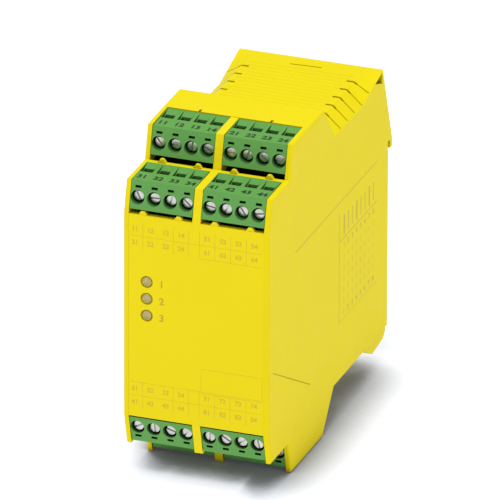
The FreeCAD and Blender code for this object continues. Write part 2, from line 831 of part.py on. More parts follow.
def build_catch():
    """Sliding foot: plate in the housing's rear, nose behind the rail, foot below."""
    body = new_body("rail_catch")
    front = POCKET_FRONT + 0.3
    back = SEAT - 0.2
    top = RAIL_FOOT - 0.3
    under = FLOOR - 0.2
    plate = rectangle(body, "plate_form", "YZ_Plane", (front, under - 2.0), (SEAT - 1.5, top))
    pad(body, "plate", plate, INNER * 2 - 0.6)
    centre = rectangle(body, "centre_form", "YZ_Plane", (front, under - 2.0), (back, top))
    pad(body, "centre", centre, INNER * 2 - 3.0)
    toe = FLOOR - 4.8
    foot = [
        (CHEEK_END + 1.8, under),
        (CHEEK_END + 10.6, toe),
        (SEAT - 2.2, toe + 1.1),
        (back, toe + 3.0),
        (back, under),
    ]
    pad(body, "foot", outline(body, "foot_form", "YZ_Plane", foot), WIDTH - 1.0)
    nose = [
        (back - 0.5, top - 3.0),
        (DEPTH - 1.4, top - 3.0),
        (DEPTH - 0.2, top - 1.4),
        (DEPTH - 0.2, top + 1.6),
        (DEPTH - 0.8, top + 2.2),
        (SEAT + cell("hook_slot"), top + 1.6),
        (SEAT + cell("hook_slot"), top),
        (back - 0.5, top),
    ]
    pad(body, "nose", outline(body, "nose_form", "YZ_Plane", nose), 18.0)
    slot = rectangle(
        body, "slot_form", "XZ_Plane", (-2.6, SPRING_FOOT - 2.1), (2.6, SPRING_TOP), -(front - 1.0)
    )
    pocket(body, "slot", slot, 8.0, "along")
    groove = rectangle(
        body, "groove_form", "YZ_Plane", (CHEEK_END + 12.0, toe - 2.0), (CHEEK_END + 14.0, toe + 1.2)
    )
    pocket(body, "tool_groove", groove, 8.0)
    return body


def build_spring():
    """Meander spring of flat strip, between the housing's ledge and the top of the catch's slot."""
    body = new_body("catch_spring")
    bends = 6
    half = 2.1
    strip = 0.5
    step = (SPRING_TOP - SPRING_FOOT - strip) / bends
    for bend in range(bends):
        start = -half if bend % 2 else half
        foot = SPRING_FOOT + step * bend
        corners = [(start, foot), (start, foot + strip), (-start, foot + step + strip), (-start, foot + step)]
        form = outline(body, f"leg_form_{bend + 1}", "XZ_Plane", corners, -(POCKET_FRONT + 1.2))
        pad(body, f"leg_{bend + 1}", form, 2.0, "against")
    return body


# ---------------------------------------------------------------------------
# Build, check and write
# ---------------------------------------------------------------------------

TIERS = ("top_back", "top_front", "bottom_front", "bottom_back")
HANDS = ("left", "right")

pieces = [build_housing(), build_front_cover()]
pieces += [build_lens(number) for number in range(3)]
for tier in TIERS:
    for hand in HANDS:
        pieces.append(build_plug(tier, hand))
        pieces.append(build_screws(tier, hand))
        pieces.append(build_clamps(tier, hand))
        pieces.append(build_header(tier, hand))
        pieces.append(build_pins(tier, hand))
for hand in HANDS:
    pieces.append(build_board(hand))
    pieces.append(build_relay(hand))
pieces += [build_capacitor(number) for number in range(2)]
pieces += [build_diodes(), build_link(), build_catch(), build_spring()]

doc.recompute()

for item in doc.Objects:
    if {"Invalid", "Error"} & set(item.State):
        raise RuntimeError(f"{item.Name} failed: {item.State}")
for piece in pieces:
    if piece.Shape.isNull() or not piece.Shape.isValid():
        raise RuntimeError(f"{piece.Label} has no valid shape")

os.makedirs("parts", exist_ok=True)
for piece in pieces:
    piece.Shape.exportStep(f"parts/{piece.Label}.step")
print(f"wrote {len(pieces)} pieces")
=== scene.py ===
import math
from collections import namedtuple

import bmesh
import bpy
from mathutils import Matrix, Vector


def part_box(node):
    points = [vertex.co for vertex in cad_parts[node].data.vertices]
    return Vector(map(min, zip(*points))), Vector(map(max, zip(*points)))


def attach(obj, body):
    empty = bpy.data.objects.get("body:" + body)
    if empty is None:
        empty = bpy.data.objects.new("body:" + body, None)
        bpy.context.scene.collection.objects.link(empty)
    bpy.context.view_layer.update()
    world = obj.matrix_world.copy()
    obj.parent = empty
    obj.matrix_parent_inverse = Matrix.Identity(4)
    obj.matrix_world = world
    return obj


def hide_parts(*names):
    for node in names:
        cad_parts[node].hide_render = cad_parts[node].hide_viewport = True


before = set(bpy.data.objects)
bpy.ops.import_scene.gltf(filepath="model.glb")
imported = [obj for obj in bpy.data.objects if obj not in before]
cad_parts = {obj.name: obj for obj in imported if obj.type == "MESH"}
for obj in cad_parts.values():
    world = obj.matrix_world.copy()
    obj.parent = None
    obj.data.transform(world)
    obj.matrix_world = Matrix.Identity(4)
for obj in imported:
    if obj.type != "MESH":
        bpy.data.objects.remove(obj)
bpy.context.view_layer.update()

MM = 0.001
TIERS = ("top_back", "top_front", "bottom_front", "bottom_back")
HANDS = ("left", "right")
POLES = 4
LENSES = 3


# ---------------------------------------------------------------------------
# Materials
# ---------------------------------------------------------------------------

# Noise scales, in cells to the metre
FLOW_CELLS = 45.0
CLOUD_CELLS = 180.0
GRAIN_CELLS = 7000.0
DRAWN_CELLS = 6000.0
METAL_CLOUD_CELLS = 700.0
LENS_CLOUD_CELLS = 900.0
TRACK_CELLS = 220.0
WEAVE_CELLS = 2500.0
INK_CELLS = 5000.0
PAPER_CELLS = 30.0

PLASTIC_IOR = 1.5
PLASTIC_SPECULAR = 0.04
PLASTIC_GLOSS_SPREAD = 0.06
METAL_SHADE = 0.82
METAL_SMOOTHER, METAL_ROUGHER = 0.08, 0.1
METAL_SCRATCH = 0.004 * MM
TRACK_HEIGHT = 0.03 * MM
INK_THIN = 1.25

# Colour sockets of a mix node, which share their names with its other sockets
MIX_FIRST, MIX_SECOND, MIX_RESULT = 6, 7, 2

# Painted shade in the holes and gaps of a material: how far away a surface still closes a point
# off, the darkest factor, and the share of open sky at which a point is fully dark and fully
# clear
GapShade = namedtuple("GapShade", "reach darkest closed clear")
SHELL_GAP_SHADE = GapShade(3.0 * MM, 0.22, 0.1, 0.72)
PLUG_GAP_SHADE = GapShade(4.0 * MM, 0.05, 0.18, 0.72)
HEADER_GAP_SHADE = GapShade(6.0 * MM, 0.02, 0.3, 0.9)


def srgb(red, green, blue):
    """Linear colour from the usual 0-255 values."""
    def linear(value):
        value = value / 255.0
        return value / 12.92 if value <= 0.04045 else ((value + 0.055) / 1.055) ** 2.4
    return (linear(red), linear(green), linear(blue), 1.0)


def shade(colour, factor):
    return tuple(value * factor for value in colour[:3]) + (1.0,)


class Nodes:
    """Small helper round one material's node tree."""

    def __init__(self, name):
        self.material = bpy.data.materials.new(name)
        self.material.use_nodes = True
        self.tree = self.material.node_tree
        self.shader = self.tree.nodes["Principled BSDF"]
        self.place = self.new("ShaderNodeTexCoord").outputs["Object"]

    def new(self, kind, **values):
        node = self.tree.nodes.new(kind)
        for key, value in values.items():
            setattr(node, key, value)
        return node

    def link(self, start, end):
        self.tree.links.new(start, end)

    def feed(self, socket, source):
        """Lead a node's output to one socket of the shader."""
        self.link(source, self.shader.inputs[socket])

    def fix(self, socket, value):
        """Set one socket of the shader to a constant."""
        self.shader.inputs[socket].default_value = value

    def noise(self, scale, detail=3.0, roughness=0.5, stretch=None):
        node = self.new("ShaderNodeTexNoise")
        node.inputs["Scale"].default_value = scale
        node.inputs["Detail"].default_value = detail
        node.inputs["Roughness"].default_value = roughness
        source = self.place
        if stretch:
            mapping = self.new("ShaderNodeMapping")
            mapping.inputs["Scale"].default_value = stretch
            self.link(source, mapping.inputs["Vector"])
            source = mapping.outputs["Vector"]
        self.link(source, node.inputs["Vector"])
        return node.outputs["Fac"]

    def spread(self, source, low, high, start=0.3, end=0.7):
        """Map a value between start and end onto low..high."""
        node = self.new("ShaderNodeMapRange")
        node.inputs["From Min"].default_value = start
        node.inputs["From Max"].default_value = end
        node.inputs["To Min"].default_value = low
        node.inputs["To Max"].default_value = high
        self.link(source, node.inputs["Value"])
        return node.outputs["Result"]

    def blend(self, source, first, second):
        """Pass from one constant colour to another, as a noise value rises."""
        node = self.new("ShaderNodeMix", data_type="RGBA")
        self.link(source, node.inputs["Factor"])
        node.inputs[MIX_FIRST].default_value = first
        node.inputs[MIX_SECOND].default_value = second
        return node.outputs[MIX_RESULT]

    def mottle(self, source, first, second):
        return self.blend(self.spread(source, 0.0, 1.0), first, second)

    def open_sky(self, samples):
        """Node that says how open a point is to its surroundings."""
        return self.new("ShaderNodeAmbientOcclusion", samples=samples)

    def hollow(self, colour, gap_shade):
        """Paint shade into a colour: darken it in holes and gaps, by how closed in each point
        is.
        """
        sky = self.open_sky(8)
        sky.inputs["Distance"].default_value = gap_shade.reach
        factor = self.spread(sky.outputs["AO"], gap_shade.darkest, 1.0, gap_shade.closed, gap_shade.clear)
        node = self.new("ShaderNodeMix", data_type="RGBA", blend_type="MULTIPLY")
        node.inputs["Factor"].default_value = 1.0
        self.link(colour, node.inputs[MIX_FIRST])
        self.link(factor, node.inputs[MIX_SECOND])
        return node.outputs[MIX_RESULT]

    def bump(self, height, distance):
        node = self.new("ShaderNodeBump")
        node.inputs["Distance"].default_value = distance
        node.inputs["Strength"].default_value = 1.0
        self.link(height, node.inputs["Height"])
        return node.outputs["Normal"]


def plastic(name, colour, roughness, grain=0.012, tone=0.985, gap_shade=SHELL_GAP_SHADE):
    """Moulded plastic: eroded grain in millimetres, flow marks, uneven gloss, and painted shade
    in its holes and gaps.
    """
    n = Nodes(name)
    flow = n.noise(FLOW_CELLS, 2.0)
    fine = n.noise(GRAIN_CELLS, 2.0, 0.6)
    # the base colour carries shade painted into holes and gaps
    n.feed("Base Color", n.hollow(n.mottle(flow, colour, shade(colour, tone)), gap_shade))
    cloudy = n.noise(CLOUD_CELLS, 4.0, 0.6)
    smoothest, roughest = roughness - PLASTIC_GLOSS_SPREAD, roughness + PLASTIC_GLOSS_SPREAD
    n.feed("Roughness", n.spread(cloudy, smoothest, roughest))
    n.feed("Normal", n.bump(fine, grain * MM))
    n.fix("IOR", PLASTIC_IOR)
    n.fix("Specular IOR Level", PLASTIC_SPECULAR)
    return n.material


def metal(name, colour, roughness, stretch=(1.0, 1.0, 1.0)):
    """Plated or drawn metal with fine directional lines and a slightly uneven polish."""
    n = Nodes(name)
    lines = n.noise(DRAWN_CELLS, 3.0, 0.6, stretch)
    cloudy = n.noise(METAL_CLOUD_CELLS)
    n.feed("Base Color", n.mottle(cloudy, colour, shade(colour, METAL_SHADE)))
    n.feed("Roughness", n.spread(lines, roughness - METAL_SMOOTHER, roughness + METAL_ROUGHER))
    n.feed("Normal", n.bump(lines, METAL_SCRATCH))
    n.fix("Metallic", 1.0)
    return n.material


def lens_plastic(name, colour, smoky):
    """Clear, slightly smoky light guide."""
    n = Nodes(name)
    cloudy = n.noise(LENS_CLOUD_CELLS)
    n.feed("Base Color", n.mottle(cloudy, colour, smoky))
    n.feed("Roughness", n.spread(cloudy, 0.16, 0.28))
    n.fix("Transmission Weight", 0.35)
    n.fix("IOR", 1.49)
    n.fix("Coat Weight", 0.25)
    n.fix("Coat Roughness", 0.12)
    return n.material


def board_laminate(name, colour, track):
    """Solder mask with faint copper tracks beneath it."""
    n = Nodes(name)
    tracks = n.new("ShaderNodeTexBrick")
    tracks.inputs["Scale"].default_value = TRACK_CELLS
    tracks.inputs["Mortar Size"].default_value = 0.06
    n.link(n.place, tracks.inputs["Vector"])
    n.feed("Base Color", n.blend(tracks.outputs["Fac"], colour, track))
    weave = n.noise(WEAVE_CELLS, 2.0)
    n.feed("Roughness", n.spread(weave, 0.28, 0.42))
    n.feed("Normal", n.bump(tracks.outputs["Fac"], TRACK_HEIGHT))
    return n.material


def ink(name, colour):
    """Printed marking: matt, with slightly uneven cover."""
    n = Nodes(name)
    patchy = n.noise(INK_CELLS, 2.0)
    n.feed("Base Color", n.mottle(patchy, colour, shade(colour, INK_THIN)))
    n.feed("Roughness", n.spread(patchy, 0.5, 0.7))
    return n.material


# How each material is made: its function, and what the function is given besides the name
ALONG_Y, ALONG_X = (1.0, 0.1, 1.0), (0.1, 1.0, 1.0)
RECIPES = {
    "housing_yellow": (plastic, dict(colour=srgb(239, 218, 20), roughness=0.46)),
    "cover_yellow": (plastic, dict(colour=srgb(241, 220, 28), roughness=0.42)),
    "catch_yellow": (plastic, dict(colour=srgb(240, 217, 12), roughness=0.45)),
    # the greens carry deeper painted shade in their holes and gaps
    "plug_green": (plastic, dict(colour=srgb(104, 164, 86), roughness=0.5,
                                 grain=0.015, tone=0.95, gap_shade=PLUG_GAP_SHADE)),
    "header_green": (plastic, dict(colour=srgb(66, 132, 66), roughness=0.55, gap_shade=HEADER_GAP_SHADE)),
    "screw_steel": (metal, dict(colour=srgb(212, 210, 204), roughness=0.27)),
    "clamp_steel": (metal, dict(colour=srgb(190, 188, 184), roughness=0.35, stretch=ALONG_Y)),
    "pin_brass": (metal, dict(colour=srgb(214, 196, 140), roughness=0.3, stretch=ALONG_Y)),
    "lens_clear": (lens_plastic, dict(colour=srgb(232, 216, 132), smoky=srgb(204, 188, 106))),
    "board_green": (board_laminate, dict(colour=srgb(28, 92, 48), track=srgb(58, 128, 66))),
    "relay_white": (plastic, dict(colour=srgb(226, 224, 214), roughness=0.4)),
    "can_metal": (metal, dict(colour=srgb(176, 178, 182), roughness=0.3, stretch=ALONG_X)),
    "diode_white": (plastic, dict(colour=srgb(232, 230, 214), roughness=0.3)),
    "link_black": (plastic, dict(colour=srgb(34, 34, 36), roughness=0.45)),
    "spring_steel": (metal, dict(colour=srgb(160, 160, 160), roughness=0.3)),
    "panel_ink": (ink, dict(colour=srgb(204, 180, 16))),
    "side_ink": (ink, dict(colour=srgb(186, 162, 26))),
    "plug_ink": (ink, dict(colour=srgb(22, 44, 24))),
}
MATERIALS = {name: make(name, **values) for name, (make, values) in RECIPES.items()}
SLOTS = {
    "housing": "housing_yellow", "front_cover": "cover_yellow", "rail_catch": "catch_yellow",
    "catch_spring": "spring_steel", "status_diodes": "diode_white", "board_link": "link_black",
    "status_lens": "lens_clear", "plug": "plug_green", "screws": "screw_steel",
    "clamps": "clamp_steel", "header": "header_green", "pins": "pin_brass",
    "circuit_board": "board_green", "relay": "relay_white", "capacitor": "can_metal",
}


def slot_of(node):
    """Material slot of a CAD node, from the start of its name."""
    return SLOTS[max((word for word in SLOTS if node.startswith(word)), key=len)]


def put_on(obj, material):
    obj.data.materials.clear()
    obj.data.materials.append(MATERIALS[material])


for cad_node, cad_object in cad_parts.items():
    put_on(cad_object, slot_of(cad_node))


# ---------------------------------------------------------------------------
# Mesh helpers
# ---------------------------------------------------------------------------

# Points closer together than this are the same point, and faces nearer to flat are one face
SAME_POINT = 0.002 * MM
SAME_PLANE = 0.6
# A cutter for a groove stands this far out of the face that it cuts
CUTTER_STANDS_OUT = 0.6 * MM
# Outlines of printed numbers: steps to each curve, and the share of the size that they swell
NUMBER_CURVE_STEPS = 3
NUMBER_SWELL = 0.03


def add_object(name, data):
    obj = bpy.data.objects.new(name, data)
    bpy.context.scene.collection.objects.link(obj)
    return obj


def mesh_from(name, bm):
    """Turn a bmesh into a mesh with its faces outwards, and free it."""
    mesh = bpy.data.meshes.new(name)
    bmesh.ops.recalc_face_normals(bm, faces=bm.faces)
    bm.to_mesh(mesh)
    bm.free()
    return mesh


def object_from(name, bm):
    return add_object(name, mesh_from(name, bm))


def apply_modifiers(obj):
    """Bake the modifiers into the mesh."""
    depsgraph = bpy.context.evaluated_depsgraph_get()
    mesh = bpy.data.meshes.new_from_object(obj.evaluated_get(depsgraph))
    obj.modifiers.clear()
    old = obj.data
    obj.data = mesh
    bpy.data.meshes.remove(old)


def smooth(obj, angle=35.0):
    """Shade smooth, apart from edges sharper than the angle in degrees."""
    obj.data.shade_smooth()
    obj.data.set_sharp_from_angle(angle=math.radians(angle))


def clean_copy(node, name, join=True):
    """Copy of a CAD node's mesh with doubled points merged and, if asked, flat faces joined."""
    obj = add_object(name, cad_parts[node].data.copy())
    bm = bmesh.new()
    bm.from_mesh(obj.data)
    bmesh.ops.remove_doubles(bm, verts=bm.verts, dist=SAME_POINT)
    if join:
        flat = math.radians(SAME_PLANE)
        bmesh.ops.dissolve_limit(bm, angle_limit=flat, verts=bm.verts, edges=bm.edges)
    bm.to_mesh(obj.data)
    bm.free()
    return obj


def carve(obj, cutter):
    """Cut one closed mesh out of another and drop the cutter."""
    boolean = obj.modifiers.new("cut", "BOOLEAN")
    boolean.operation = "DIFFERENCE"
    boolean.solver = "EXACT"
    boolean.object = cutter
    apply_modifiers(obj)
    mesh = cutter.data
    bpy.data.objects.remove(cutter)
    bpy.data.meshes.remove(mesh)


def soften(obj, width, segments=2, angle=28.0, keep_crisp=lambda point: False):
    """Round every edge sharper than the angle, apart from those between crisp points."""
    bm = bmesh.new()
    bm.from_mesh(obj.data)
    weight = bm.edges.layers.float.new("bevel_weight_edge")
    for edge in bm.edges:
        sharp = edge.is_manifold and edge.calc_face_angle(0.0) > math.radians(angle)
        crisp = all(keep_crisp(vert.co) for vert in edge.verts)
        edge[weight] = 1.0 if sharp and not crisp else 0.0
    bm.to_mesh(obj.data)
    bm.free()
    bevel = obj.modifiers.new("round", "BEVEL")
    bevel.width = width
    bevel.segments = segments
    bevel.limit_method = "WEIGHT"
    bevel.use_clamp_overlap = True
    bevel.miter_outer = "MITER_ARC"
    apply_modifiers(obj)
    smooth(obj)
    weighted = obj.modifiers.new("even", "WEIGHTED_NORMAL")
    weighted.keep_sharp = True
    apply_modifiers(obj)


def box_mesh(bm, low, high):
    """Closed box between two opposite corners."""
    verts = [
        bm.verts.new((x, y, z))
        for x in (low[0], high[0]) for y in (low[1], high[1]) for z in (low[2], high[2])
    ]
    loops = (
        (0, 1, 3, 2), (4, 6, 7, 5), (0, 4, 5, 1), (2, 3, 7, 6), (0, 2, 6, 4), (1, 5, 7, 3),
    )
    for loop in loops:
        bm.faces.new([verts[i] for i in loop])


def prism(bm, near, far):
    """Closed solid between two outlines with the same number of corners."""
    loops = [[bm.verts.new(corner) for corner in corners] for corners in (near, far)]
    bm.faces.new(loops[0])
    bm.faces.new(list(reversed(loops[1])))
    for number in range(len(near)):
        after = (number + 1) % len(near)
        bm.faces.new((loops[0][number], loops[1][number], loops[1][after], loops[0][after]))


def groove(bm, start, end, normal, width, depth):
    """Cutter for a thin groove along a line that lies on a face with the given normal."""
    normal = Vector(normal).normalized()
    across = (end - start).cross(normal).normalized() * (width / 2.0)
    corners = [start - across, end - across, end + across, start + across]
    sunk = [corner - normal * depth for corner in corners]
    clear = [corner + normal * CUTTER_STANDS_OUT for corner in corners]
    prism(bm, sunk, clear)


def lathe(bm, profile, sides, place=Matrix.Identity(4)):
    """Turn a profile of (radius, depth) about the Y axis; both ends are closed."""
    rings = []
    for radius, depth in profile:
        ring = []
        for number in range(sides):
            turn = 2.0 * math.pi * number / sides
            corner = Vector((radius * math.cos(turn), depth, radius * math.sin(turn)))
            ring.append(bm.verts.new(place @ corner))
        rings.append(ring)
    for first, second in zip(rings, rings[1:]):
        for number in range(sides):
            after = (number + 1) % sides
            bm.faces.new((first[number], first[after], second[after], second[number]))
    bm.faces.new(rings[0])
    bm.faces.new(list(reversed(rings[-1])))


def gather(bm, mesh, place):
    """Add a copy of a mesh at a place."""
    start = len(bm.verts)
    bm.from_mesh(mesh)
    bm.verts.ensure_lookup_table()
    bmesh.ops.transform(bm, matrix=place, verts=bm.verts[start:])


def finish_piece(obj, body, slot, *nodes):
    """Give a piece its finish and its body, and hide the CAD nodes that it stands for."""
    put_on(obj, slot)
    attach(obj, body)
    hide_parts(*nodes)


def print_on(name, marks, material, body):
    """Join flat printed marks, each a mesh and its place, into one piece."""
    bm = bmesh.new()
    for mesh, place in marks:
        gather(bm, mesh, place)
    obj = object_from(name, bm)
    put_on(obj, material)
    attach(obj, body)


def bar_mesh(low, high):
    """Printed bar between two opposite corners."""
    bm = bmesh.new()
    box_mesh(bm, low, high)
    return mesh_from("bar", bm)


def bar_ends(start, end, half):
    """Lowest and highest corner, on the printed face, of a bar between two points."""
    low = [min(pair) - half for pair in zip(start, end)]
    high = [max(pair) + half for pair in zip(start, end)]
    return low, high


NUMBER_MESHES = {}


def number_mesh(word, size, thickness):
    """Flat lettering of a plain number, centred on its own origin."""
    key = (word, size, thickness)
    if key not in NUMBER_MESHES:
        curve = bpy.data.curves.new("number", "FONT")
        curve.body = word
        curve.size = size
        curve.align_x = "CENTER"
        curve.align_y = "CENTER"
        curve.extrude = thickness
        curve.resolution_u = NUMBER_CURVE_STEPS
        curve.offset = NUMBER_SWELL * size
        obj = add_object("number", curve)
        NUMBER_MESHES[key] = bpy.data.meshes.new_from_object(obj)
        bpy.data.objects.remove(obj)
    return NUMBER_MESHES[key]


# ---------------------------------------------------------------------------
# Housing, cover and catch
# ---------------------------------------------------------------------------

housing_low, housing_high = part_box("housing")
FRONT = housing_low.y
SIDE = housing_high.x
TOP = housing_high.z
MID = (housing_low.z + housing_high.z) / 2.0
# A vertex this near to a face's plane belongs to the face
ON_FACE = 0.01 * MM
# The side walls sit back by this, which leaves room for their print
SIDE_SET_IN = 0.04 * MM

# Vents, in millimetres: depth of the first slot, their spacing, and the plateau's height
VENT_FIRST = 61.55
VENT_PITCH = 6.09
VENT_SLOTS = 5
VENT_TOP = TOP / MM - 8.0
# Where the fine grooves across a plateau lie, how far down they reach, and how far their
# floors are raised, which makes them faint
VENT_ZONE_START, VENT_ZONE_END = 53.0 * MM, 97.0 * MM
VENT_ZONE_HALF = 16.05 * MM
VENT_ZONE_DEPTH = 0.26 * MM
VENT_FLOOR = 0.2 * MM
VENT_RAISE = 0.2 * MM

# Facets beside a plateau, in millimetres: their inner edge, how far they run outwards and
# fall, the length over which they run out, and the depth at which they end
FACET_EDGE = 17.5
FACET_RUN = 5.0
FACET_FALL = 4.5
FACET_TAPER = 16.9
FACET_END = 97.4
FACET_GROOVE = (0.45 * MM, 0.3 * MM)
# A facet groove starts a little inside the edge and stops a little short of the side
FACET_GROOVE_START, FACET_GROOVE_STOP = 0.04, 0.94

# Moulding seam low on each side wall: (depth, height) of its ends; width and depth of its cut
SEAM_ENDS = ((3.9, 38.9), (35.2, 22.0))
SEAM_GROOVE = (0.3 * MM, 0.25 * MM)
# Three-cornered pocket behind the end of the facet: (depth, height) of its corners, and how
# far out and in its cutter reaches
POCKET_RIM = ((90.8, 94.9), (96.9, 92.7), (96.9, 96.2))
POCKET_OUTER, POCKET_INNER = 24.0, 19.6
# Short groove near the rear of the upper plateau: (across, depth) of its ends
REAR_GROOVE_ENDS = ((-4.6, 91.9), (5.1, 92.4))
REAR_GROOVE = (0.5 * MM, 0.3 * MM)
HOUSING_ROUNDING = 0.22 * MM

# The cover's front sits back and its sides stand out a hair, so that it shares no face with
# its own print or with the housing
COVER_SET_BACK = 0.05 * MM
COVER_STANDS_OUT = 0.08 * MM
COVER_ROUNDING = 0.16 * MM
# Sunk ring round each lens: its radius, and where its cutter starts and stops
LENS_RING_RADIUS = 1.9 * MM
LENS_RING_OUT, LENS_RING_IN = 0.5 * MM, 0.55 * MM
LENS_RING_SIDES = 40
CATCH_ROUNDING = 0.25 * MM


def place_at(x, depth, height):
    """Point from millimetres across, back from the front face and up from the base."""
    return Vector((x * MM, FRONT + depth * MM, height * MM))


def vent_depth(point):
    """How far a point lies below the surface of the nearer vent plateau."""
    return VENT_TOP * MM - MID - abs(point.z - MID)


def on_vent(point):
    """Whether a point belongs to the fine grooves across a vent plateau."""
    along = FRONT + VENT_ZONE_START < point.y < FRONT + VENT_ZONE_END
    across = abs(point.x) < VENT_ZONE_HALF
    return along and across and -ON_FACE < vent_depth(point) < VENT_ZONE_DEPTH


def build_housing():
    obj = clean_copy("housing", "housing_shell", join=False)
    for vert in obj.data.vertices:
        if abs(vert.co.x) > SIDE - ON_FACE:
            vert.co.x -= math.copysign(SIDE_SET_IN, vert.co.x)
        if on_vent(vert.co) and vent_depth(vert.co) > VENT_FLOOR:
            vert.co.z += math.copysign(VENT_RAISE, vert.co.z - MID)
    bm = bmesh.new()
    for side in (-1.0, 1.0):
        seam = [place_at(side * SIDE / MM, depth, height) for depth, height in SEAM_ENDS]
        groove(bm, *seam, (side, 0.0, 0.0), *SEAM_GROOVE)
        # one groove runs down the facet from each vent slot
        for number in range(VENT_SLOTS):
            depth = VENT_FIRST + VENT_PITCH * number
            fall = FACET_FALL * min(1.0, (FACET_END - depth) / FACET_TAPER)
            edge = place_at(side * FACET_EDGE, depth, VENT_TOP)
            run = Vector((side * FACET_RUN, 0.0, -fall)) * MM
            start, stop = edge - run * FACET_GROOVE_START, edge + run * FACET_GROOVE_STOP
            groove(bm, start, stop, (side * fall, 0.0, FACET_RUN), *FACET_GROOVE)
        prism(bm, *(
            [place_at(side * x, depth, height) for depth, height in POCKET_RIM]
            for x in (POCKET_OUTER, POCKET_INNER)
        ))
    rear = [place_at(x, depth, VENT_TOP) for x, depth in REAR_GROOVE_ENDS]
    groove(bm, *rear, (0.0, 0.0, 1.0), *REAR_GROOVE)
    carve(obj, object_from("seams", bm))
    soften(obj, HOUSING_ROUNDING, keep_crisp=on_vent)
    finish_piece(obj, "housing", "housing_yellow", "housing")


def middle_of(node):
    low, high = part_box(node)
    return (low + high) / 2.0


def build_cover():
    obj = clean_copy("front_cover", "cover_shell")
    low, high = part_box("front_cover")
    for vert in obj.data.vertices:
        if vert.co.y < low.y + 2.0 * ON_FACE:
            vert.co.y += COVER_SET_BACK
        if abs(vert.co.x) > high.x - ON_FACE:
            vert.co.x += math.copysign(COVER_STANDS_OUT, vert.co.x)
    bm = bmesh.new()
    ring = [(LENS_RING_RADIUS, low.y + end) for end in (-LENS_RING_OUT, LENS_RING_IN)]
    for number in range(1, LENSES + 1):
        middle = middle_of(f"status_lens_{number}")
        lathe(bm, ring, LENS_RING_SIDES, Matrix.Translation((middle.x, 0.0, middle.z)))
    carve(obj, object_from("rings", bm))
    soften(obj, COVER_ROUNDING, keep_crisp=lambda point: abs(point.x) > high.x)
    finish_piece(obj, "housing", "cover_yellow", "front_cover")


def build_catch():
    obj = clean_copy("rail_catch", "catch_foot")
    soften(obj, CATCH_ROUNDING)
    finish_piece(obj, "rail_catch", "catch_yellow", "rail_catch")


# ---------------------------------------------------------------------------
# Terminal plugs and screws
# ---------------------------------------------------------------------------

# The tread, which carries the wire funnels, rises slightly from the edge above the screws to
# the back of the plug
TREAD_START = 2.12 * MM
TREAD_RUN = 12.4 * MM
TREAD_RISE = 0.3 * MM
# Wire funnels lie behind this share of the tread and no further below it than this; their
# floors are raised by half, because the solids carry them deeper
FUNNEL_SHARE = 0.44
FUNNEL_LOWEST = 1.62 * MM
FUNNEL_EDGE = 0.04 * MM
FUNNEL_RAISE = 0.5
# Round screw hole, from in front of the plug to behind the head
HOLE_RADIUS = 2.13 * MM
HOLE_FRONT, HOLE_BACK = 4.0 * MM, 3.9 * MM
HOLE_SIDES = 32
# Test-probe opening beside each screw
PROBE_HALF = 0.95 * MM
PROBE_NEAR, PROBE_FAR = 2.72 * MM, 3.5 * MM
PROBE_BACK = 1.6 * MM
PLUG_ROUNDING = 0.1 * MM

# Screw: radius and sides of its head, the width and depth of its slot, and how far the
# slot's cutter passes the rim, as a share of the radius
SCREW_RADIUS = 1.72 * MM
SCREW_SIDES = 28
SCREW_SLOT_HALF = 0.27 * MM
SCREW_SLOT_DEPTH = 0.75 * MM
SCREW_SLOT_LENGTH = 1.4
SCREW_SMOOTH_ANGLE = 30.0
# How far the crown of a head sits behind the front of its solid
HEAD_SET_BACK = 0.55 * MM
# Degrees that start each plug's row of screws, and the turn from one screw to the next
TURN_PER_LETTER = 31
TURN_OF_HAND = {"left": 17, "right": 71}
TURN_AT_BACK = 43
TURN_STEP = 67

# Numbers on the wire faces: size, thickness, how far behind the plug's front, and how far
# within its box
PLUG_NUMBER_SIZE = 3.1 * MM
PLUG_NUMBER_THICK = 0.012 * MM
PLUG_NUMBER_BACK = 4.6 * MM
PLUG_NUMBER_DROP = 0.21 * MM


def pole_places(tier, hand):
    """Middle of each screw head: X of the four poles, and their shared Y in front and Z."""
    low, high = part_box(f"screws_{tier}_{hand}")
    radius = (high.z - low.z) / 2.0
    first = low.x + radius
    pitch = (high.x - low.x - 2.0 * radius) / (POLES - 1)
    return [first + pitch * number for number in range(POLES)], low.y, (low.z + high.z) / 2.0


def sign_of(tier):
    """Which way a tier's wire faces look: 1 for up, -1 for down."""
    return 1.0 if tier.startswith("top") else -1.0


def build_plug(tier, hand):
    obj = clean_copy(f"plug_{tier}_{hand}", f"plug_case_{tier}_{hand}")
    sign = sign_of(tier)
    low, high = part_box(f"plug_{tier}_{hand}")
    xs, front, height = pole_places(tier, hand)
    tread_edge = (high.z if sign > 0 else low.z) - sign * TREAD_RISE
    for vert in obj.data.vertices:
        share = (vert.co.y - (low.y + TREAD_START)) / TREAD_RUN
        drop = (tread_edge + sign * share * TREAD_RISE - vert.co.z) * sign
        if share >= FUNNEL_SHARE and FUNNEL_EDGE < drop <= FUNNEL_LOWEST:
            vert.co.z += sign * drop * FUNNEL_RAISE
    bm = bmesh.new()
    hole = [(HOLE_RADIUS, front - HOLE_FRONT), (HOLE_RADIUS, front + HOLE_BACK)]
    for x in xs:
        lathe(bm, hole, HOLE_SIDES, Matrix.Translation((x, 0.0, height)))
        probe_low = (x - PROBE_HALF, front - HOLE_FRONT, height + sign * PROBE_NEAR)
        probe_high = (x + PROBE_HALF, front + PROBE_BACK, height + sign * PROBE_FAR)
        box_mesh(bm, probe_low, probe_high)
    carve(obj, object_from("holes", bm))
    soften(obj, PLUG_ROUNDING, segments=1, angle=30.0)
    finish_piece(obj, f"terminal_plug_{tier}_{hand}", "plug_green", f"plug_{tier}_{hand}")


